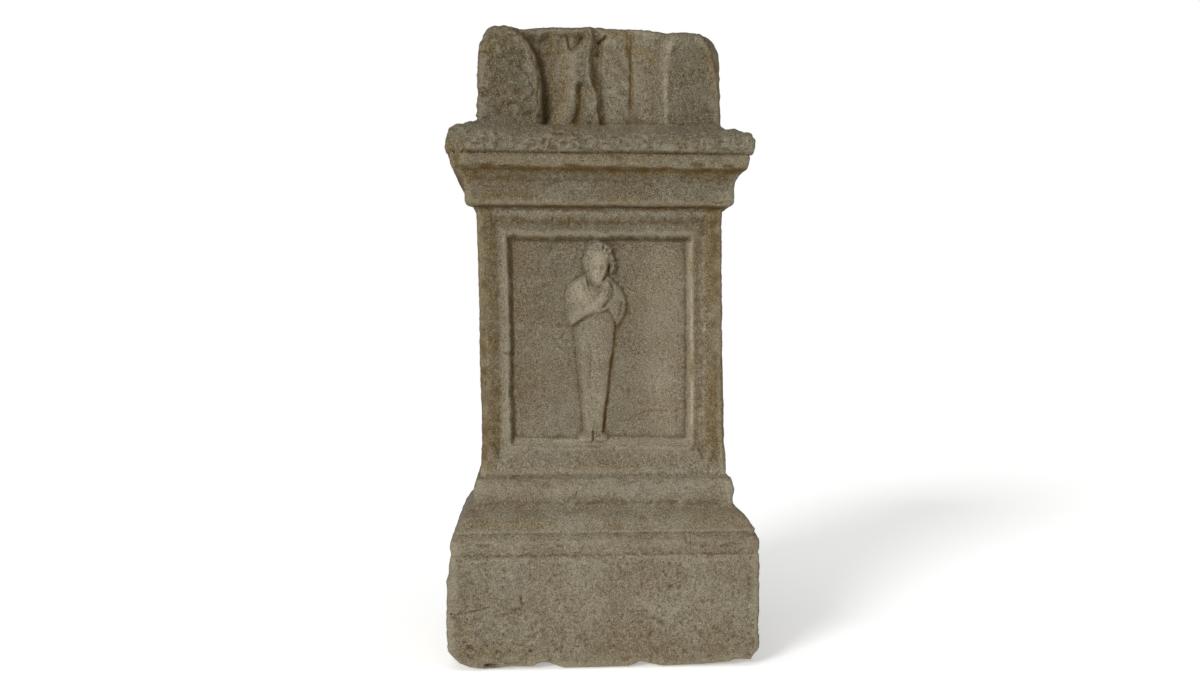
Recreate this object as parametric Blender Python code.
"""Votive altar carved from one stone together with its plinth.

Z is up, the front faces -Y, and the origin is the middle of the underside.
"""
import math

import bmesh
import bpy
from mathutils import Matrix, Vector

# Block sizes in metres
DIE_WIDTH = 0.402
DIE_DEPTH = 0.302
BASE_PROJECTION = 0.053
CORNICE_PROJECTION = 0.049
PLINTH_HEIGHT = 0.183
BASE_MOULDING_HEIGHT = 0.123
DIE_HEIGHT = 0.447
CORNICE_HEIGHT = 0.134
CROWN_HEIGHT = 0.163
TOP_DROP = 0.010
CORNER_RADIUS = 0.005
TOP_ROUNDING = 0.024

# Frame and sunken panel of the front, in metres
FRAME_MARGIN = 0.057
FRAME_TOP_MARGIN = 0.057
PANEL_FOOT = 0.052
PANEL_SINK = 0.015
PANEL_WALL_RUN = 0.009
GROOVE_INSET = 0.029
GROOVE_WIDTH = 0.017
GROOVE_DEPTH = 0.0045
GROOVE_FOOT = 0.031
GROOVE_TIP = 0.020

# Relief on the panel and in the crown, in metres
RELIEF_RISE = 0.016
NICHE_LEFT = -0.099
NICHE_RIGHT = 0.100
NICHE_SINK = 0.034
NICHE_SINK_RIGHT = 0.012
NICHE_SHOULDER = 0.040
TORSO_X = -0.027
TORSO_RADIUS = 0.024
DRAPERY_WIDTH = 0.048

# Breaks, in metres
CORNICE_BREAK = 0.037
FOOT_CHIP = 0.030

STONE_COLOR = (0.235, 0.205, 0.145, 1.0)
ARC_STEPS = 5
CORNER_STEPS = 3
LOFT_SEGMENTS = 20
OVERSHOOT = 0.01

BASE_TOP = PLINTH_HEIGHT + BASE_MOULDING_HEIGHT
DIE_TOP = BASE_TOP + DIE_HEIGHT
CORNICE_TOP = DIE_TOP + CORNICE_HEIGHT
TOTAL_HEIGHT = CORNICE_TOP + CROWN_HEIGHT
DIE_FRONT = -DIE_DEPTH / 2
PLINTH_FRONT = DIE_FRONT - BASE_PROJECTION


def curve(start, end, bulge, steps=ARC_STEPS):
    """Points after start up to end, bowed outward by bulge (inward if negative)."""
    points = []
    for i in range(1, steps + 1):
        t = i / steps
        swell = bulge * math.sin(math.pi * t)
        out = start[0] + (end[0] - start[0]) * t + swell
        points.append((out, start[1] + (end[1] - start[1]) * t))
    return points


def outline():
    """Projection beyond the die and height, from the underside to the broken top."""
    p = BASE_PROJECTION
    b = BASE_MOULDING_HEIGHT
    points = [(p * 0.90, 0.0), (p, PLINTH_HEIGHT * 0.10), (p, PLINTH_HEIGHT)]
    torus_foot = (p * 0.91, PLINTH_HEIGHT + b * 0.012)
    torus_head = (p * 0.87, PLINTH_HEIGHT + b * 0.285)
    points += [torus_foot]
    points += curve(torus_foot, torus_head, p * 0.07)
    cyma_foot = (p * 0.82, PLINTH_HEIGHT + b * 0.295)
    cyma_head = (p * 0.37, PLINTH_HEIGHT + b * 0.620)
    points += [cyma_foot]
    points += curve(cyma_foot, cyma_head, p * 0.05)
    roll_foot = (p * 0.33, PLINTH_HEIGHT + b * 0.68)
    roll_head = (p * 0.17, BASE_TOP)
    points += [roll_foot]
    points += curve(roll_foot, roll_head, p * 0.07)
    points += [(p * 0.08, BASE_TOP + b * 0.02)]
    points += curve(points[-1], (0.0, BASE_TOP + b * 0.22), -p * 0.01, 3)
    q = CORNICE_PROJECTION
    c = CORNICE_HEIGHT
    points += [(0.0, DIE_TOP), (q * 0.40, DIE_TOP + c * 0.04)]
    points += [(q * 0.45, DIE_TOP + c * 0.17)]
    points += curve(points[-1], (q * 0.62, DIE_TOP + c * 0.41), -q * 0.07)
    roll_foot = (q * 0.78, DIE_TOP + c * 0.44)
    roll_head = (q * 0.90, DIE_TOP + c * 0.615)
    points += [roll_foot]
    points += curve(roll_foot, roll_head, q * 0.05, 4)
    slab_foot = (q * 0.93, DIE_TOP + c * 0.635)
    slab_head = (q * 0.86, DIE_TOP + c * 0.83)
    points += [slab_foot]
    points += curve(slab_foot, slab_head, q * 0.09, 4)
    points += [(q * 0.55, DIE_TOP + c * 0.935), (q * 0.05, CORNICE_TOP)]
    points += [(0.0, CORNICE_TOP + CROWN_HEIGHT * 0.05)]
    for i in range(ARC_STEPS + 1):
        turn = math.pi / 2 * i / ARC_STEPS
        inward = TOP_ROUNDING * (1 - math.cos(turn))
        points.append((-inward, TOTAL_HEIGHT - TOP_ROUNDING * (1 - math.sin(turn))))
    return points


def new_object(name, bm):
    """Link a bmesh as an object whose faces point outward."""
    bmesh.ops.recalc_face_normals(bm, faces=bm.faces[:])
    mesh = bpy.data.meshes.new(name)
    bm.to_mesh(mesh)
    bm.free()
    item = bpy.data.objects.new(name, mesh)
    bpy.context.collection.objects.link(item)
    return item


def stone_block():
    """The whole moulded block, extruded upward one outline point at a time."""
    points = outline()
    first = points[0]
    bm = bmesh.new()
    bmesh.ops.create_grid(bm, x_segments=1, y_segments=1, size=0.5)
    for v in bm.verts:
        v.co.x *= DIE_WIDTH + 2 * first[0]
        v.co.y *= DIE_DEPTH + 2 * first[0]
    bmesh.ops.bevel(
        bm,
        geom=bm.verts[:],
        offset=CORNER_RADIUS,
        offset_type="OFFSET",
        segments=CORNER_STEPS,
        profile=0.5,
        affect="VERTICES",
    )
    cap = next(iter(bm.faces))
    previous = first
    for point in points[1:]:
        grown = bmesh.ops.extrude_face_region(bm, geom=[cap], use_keep_orig=True)
        if previous is not first:
            bmesh.ops.delete(bm, geom=[cap], context="FACES_ONLY")
        cap = next(e for e in grown["geom"] if isinstance(e, bmesh.types.BMFace))
        step = point[0] - previous[0]
        for v in cap.verts:
            v.co.x += step * math.copysign(1.0, v.co.x)
            v.co.y += step * math.copysign(1.0, v.co.y)
            v.co.z += point[1] - previous[1]
        previous = point
    for v in bm.verts:
        rise = (v.co.z - CORNICE_TOP) / CROWN_HEIGHT
        if rise > 0:
            v.co.z -= TOP_DROP * rise * (0.5 + v.co.x / DIE_WIDTH)
    return new_object("votive_altar", bm)


def tool(name, bm):
    """A shape that only adds to or cuts the stone."""
    item = new_object(name, bm)
    item.hide_render = True
    item.display_type = "WIRE"
    return item


def ball(name, center, half):
    """An ellipsoid given by its middle and half sizes."""
    bm = bmesh.new()
    place = Matrix.Translation(center) @ Matrix.Diagonal((*half, 1.0))
    bmesh.ops.create_uvsphere(bm, u_segments=20, v_segments=12, radius=1.0, matrix=place)
    return tool(name, bm)


def loft(name, sections):
    """Level oval sections (middle, half width, half depth) joined from foot to head."""
    bm = bmesh.new()
    rings = []
    for middle, half_width, half_depth in sections:
        place = Matrix.Translation(middle) @ Matrix.Diagonal((half_width, half_depth, 1.0, 1.0))
        made = bmesh.ops.create_circle(bm, segments=LOFT_SEGMENTS, radius=1.0, matrix=place)
        rings.append(list(dict.fromkeys(e for v in made["verts"] for e in v.link_edges)))
    for lower, upper in zip(rings, rings[1:]):
        bmesh.ops.bridge_loops(bm, edges=lower + upper)
    for ring in (rings[0], rings[-1]):
        bmesh.ops.contextual_create(bm, geom=ring)
    return tool(name, bm)


def prism(name, corners, y_front, y_back):
    """An outline in the X-Z plane extruded from y_front to y_back."""
    bm = bmesh.new()
    ring = [bm.verts.new((x, y_front, z)) for x, z in corners]
    face = bm.faces.new(ring)
    grown = bmesh.ops.extrude_face_region(bm, geom=[face], use_keep_orig=True)
    moved = [e for e in grown["geom"] if isinstance(e, bmesh.types.BMVert)]
    bmesh.ops.translate(bm, vec=(0.0, y_back - y_front, 0.0), verts=moved)
    return tool(name, bm)


def frame_groove():
    """One V-shaped channel up both sides of the frame and across its top."""
    x = DIE_WIDTH / 2 - GROOVE_INSET
    foot = BASE_TOP + GROOVE_FOOT
    head = DIE_TOP - GROOVE_INSET
    near = foot + GROOVE_TIP
    stations = (
        ((-x, near), (-1.0, 0.0)),
        ((-x, head), (-1.0, 1.0)),
        ((x, head), (1.0, 1.0)),
        ((x, near), (1.0, 0.0)),
    )
    inward = Vector((0.0, GROOVE_DEPTH, 0.0))
    bm = bmesh.new()
    rings = []
    for place, side in stations:
        middle = Vector((place[0], DIE_FRONT, place[1]))
        across = Vector((side[0], 0.0, side[1])) * GROOVE_WIDTH / 2
        rings.append([bm.verts.new(middle + s) for s in (across, inward, -across, -inward)])
    for one, other in zip(rings, rings[1:]):
        for i in range(4):
            j = (i + 1) % 4
            bm.faces.new((one[i], one[j], other[j], other[i]))
    for ring, side in ((rings[0], -1), (rings[-1], 1)):
        tip = bm.verts.new((side * x, DIE_FRONT, foot))
        for i in range(4):
            bm.faces.new((ring[i], ring[(i + 1) % 4], tip))
    return tool("frame_groove", bm)


def panel_recess():
    """The sunken panel with sloping walls."""
    half = DIE_WIDTH / 2 - FRAME_MARGIN
    foot = BASE_TOP + PANEL_FOOT
    head = DIE_TOP - FRAME_TOP_MARGIN
    bm = bmesh.new()
    bmesh.ops.create_cube(bm, size=1.0)
    sink = PANEL_SINK + OVERSHOOT
    spread = PANEL_WALL_RUN * sink / PANEL_SINK
    for v in bm.verts:
        outer = v.co.y < 0
        grow = spread if outer else 0.0
        v.co.x = math.copysign(half + grow, v.co.x)
        v.co.z = foot if v.co.z < 0 else head + grow * 0.6
        v.co.y = DIE_FRONT - OVERSHOOT if outer else DIE_FRONT + PANEL_SINK
    return tool("panel_recess", bm)


def panel_figure():
    """Standing figure wrapped in a cloak, as shares of the panel's height."""
    wall = DIE_FRONT + PANEL_SINK
    foot = BASE_TOP + PANEL_FOOT
    tall = DIE_TOP - FRAME_TOP_MARGIN - foot
    x = -0.034 * tall
    rise = RELIEF_RISE

    def at(across, up, out=0.0):
        return (x + across * tall, wall - out * rise, foot + up * tall)

    def section(across, up, half, depth):
        return (at(across, up), half * tall, depth * rise)

    body = [
        section(-0.005, 0.040, 0.044, 0.70),
        section(-0.002, 0.280, 0.064, 0.80),
        section(0.003, 0.510, 0.091, 0.90),
        section(0.003, 0.590, 0.095, 0.95),
        section(0.000, 0.628, 0.130, 0.90),
        section(0.002, 0.692, 0.146, 1.00),
        section(0.000, 0.752, 0.139, 0.95),
        section(-0.002, 0.800, 0.108, 0.80),
        section(-0.001, 0.850, 0.045, 0.50),
    ]
    forearm = [
        section(-0.085, 0.612, 0.034, 1.15),
        section(-0.020, 0.668, 0.052, 1.30),
        section(0.040, 0.725, 0.045, 1.35),
        section(0.058, 0.790, 0.026, 1.15),
    ]
    parts = [loft("body", body), loft("forearm", forearm)]
    head = (0.062 * tall, rise * 0.85, 0.104 * tall)
    parts.append(ball("head", at(0.000, 0.876, 0.40), head))
    hair = (0.078 * tall, rise * 0.55, 0.080 * tall)
    parts.append(ball("hair", at(0.012, 0.912, 0.15), hair))
    for side, name in ((-1, "foot_left"), (1, "foot_right")):
        half = (0.036 * tall, rise * 0.95, 0.030 * tall)
        parts.append(ball(name, at(side * 0.038 - 0.002, 0.030, 0.1), half))
    return parts


def niche():
    """Niche between the two bolsters, deep on its left and shallow on its right."""
    front = DIE_FRONT - OVERSHOOT
    top = TOTAL_HEIGHT + OVERSHOOT
    corners = [(NICHE_LEFT, CORNICE_TOP + OVERSHOOT * 0.4)]
    shoulder_height = CROWN_HEIGHT * 0.72
    for i in range(ARC_STEPS + 1):
        turn = math.pi / 2 * i / ARC_STEPS
        bend = NICHE_SHOULDER * (1 - math.cos(turn))
        climb = CROWN_HEIGHT - shoulder_height
        corners.append((NICHE_LEFT - bend, CORNICE_TOP + climb + shoulder_height * math.sin(turn)))
    corners.append((NICHE_LEFT - NICHE_SHOULDER, top))
    corners.append((NICHE_RIGHT, top))
    corners.append((NICHE_RIGHT, CORNICE_TOP + OVERSHOOT * 0.4))
    item = prism("niche", corners, front, DIE_FRONT + NICHE_SINK)
    span = NICHE_RIGHT - NICHE_LEFT
    for v in item.data.vertices:
        if v.co.y > front + OVERSHOOT / 2:
            share = max(0.0, (v.co.x - NICHE_LEFT) / span)
            v.co.y = DIE_FRONT + NICHE_SINK + (NICHE_SINK_RIGHT - NICHE_SINK) * share
            v.co.x -= share * NICHE_SINK_RIGHT
    return item


def crown_figure():
    """Broken standing figure, its hanging cloak and drapery, as shares of the crown."""
    wall = DIE_FRONT + NICHE_SINK * 0.72
    out = DIE_FRONT + NICHE_SINK * 0.45
    r = TORSO_RADIUS

    def section(across, up, half, depth, y=out):
        middle = (TORSO_X + across * r, y, CORNICE_TOP + up * CROWN_HEIGHT)
        return (middle, half * r, depth * r)

    torso = [
        section(0.15, 0.34, 0.80, 0.75),
        section(0.10, 0.55, 0.88, 0.80),
        section(0.05, 0.72, 0.92, 0.80),
        section(0.25, 0.86, 0.72, 0.65),
        section(0.40, 0.96, 0.40, 0.45),
    ]
    leg_left = [
        section(-1.05, -0.05, 0.48, 0.60),
        section(-0.65, 0.22, 0.44, 0.58),
        section(-0.15, 0.48, 0.46, 0.60),
    ]
    leg_right = [
        section(0.98, -0.05, 0.42, 0.60),
        section(0.75, 0.22, 0.42, 0.58),
        section(0.45, 0.48, 0.46, 0.60),
    ]
    cloak = [
        section(-1.75, -0.05, 0.45, 0.45, wall),
        section(-1.55, 0.35, 0.60, 0.55, wall),
        section(-1.40, 0.70, 0.62, 0.60, wall),
        section(-1.35, 0.90, 0.50, 0.50, wall),
    ]
    parts = [loft("torso", torso), loft("leg_left", leg_left)]
    parts += [loft("leg_right", leg_right), loft("cloak", cloak)]
    bm = bmesh.new()
    foot = CORNICE_TOP - OVERSHOOT * 0.5
    tall = CROWN_HEIGHT * 0.90
    middle = (TORSO_X + r + DRAPERY_WIDTH / 2, DIE_FRONT + NICHE_SINK * 0.62, foot + tall / 2)
    place = Matrix.Translation(middle) @ Matrix.Diagonal((DRAPERY_WIDTH, NICHE_SINK * 0.7, tall, 1.0))
    bmesh.ops.create_cube(bm, size=1.0, matrix=place)
    bmesh.ops.bevel(
        bm,
        geom=bm.edges[:],
        offset=NICHE_SINK * 0.12,
        offset_type="OFFSET",
        segments=2,
        profile=0.5,
        affect="EDGES",
    )
    parts.append(tool("drapery", bm))
    return parts


def breaks():
    """Lost corner of the cornice and chips along the foot of the plinth."""
    x = -DIE_WIDTH / 2 - CORNICE_PROJECTION
    y = DIE_FRONT - CORNICE_PROJECTION
    bm = bmesh.new()
    side = CORNICE_BREAK * math.sqrt(2)
    tall = CORNICE_HEIGHT * 1.4
    turn = Matrix.Rotation(math.radians(45), 4, "Z")
    place = Matrix.Translation((x, y, DIE_TOP + CORNICE_HEIGHT * 0.5)) @ turn
    size = Matrix.Diagonal((side, side, tall, 1.0))
    bmesh.ops.create_cube(bm, size=1.0, matrix=place @ size)
    corner = tool("cornice_break", bm)
    half = DIE_WIDTH / 2 + BASE_PROJECTION
    chips = [corner]
    r = FOOT_CHIP
    spots = (
        ("chip_left", (-half, PLINTH_FRONT, 0.0), (r * 1.2, r, r * 0.7)),
        ("chip_middle", (-half * 0.30, PLINTH_FRONT, 0.0), (r * 0.6, r * 0.4, r * 0.35)),
        ("chip_right", (half * 0.93, PLINTH_FRONT, 0.0), (r * 1.1, r * 0.6, r * 0.5)),
    )
    for name, center, size in spots:
        chips.append(ball(name, center, size))
    return chips


def apply_tool(stone, item, operation):
    """Add one Boolean step to the stone."""
    step = stone.modifiers.new(item.name, "BOOLEAN")
    step.operation = operation
    step.object = item
    step.solver = "EXACT"


def stone_material():
    """Dry, matt, grey-beige stone."""
    material = bpy.data.materials.new("stone")
    material.use_nodes = True
    shader = material.node_tree.nodes["Principled BSDF"]
    shader.inputs["Base Color"].default_value = STONE_COLOR
    shader.inputs["Roughness"].default_value = 0.9
    shader.inputs["Metallic"].default_value = 0.0
    return material


def build():
    for item in list(bpy.data.objects):
        bpy.data.objects.remove(item, do_unlink=True)
    stone = stone_block()
    for item in (panel_recess(), niche(), frame_groove()):
        apply_tool(stone, item, "DIFFERENCE")
    for item in panel_figure() + crown_figure():
        apply_tool(stone, item, "UNION")
    for item in breaks():
        apply_tool(stone, item, "DIFFERENCE")
    stone.data.materials.append(stone_material())


build()
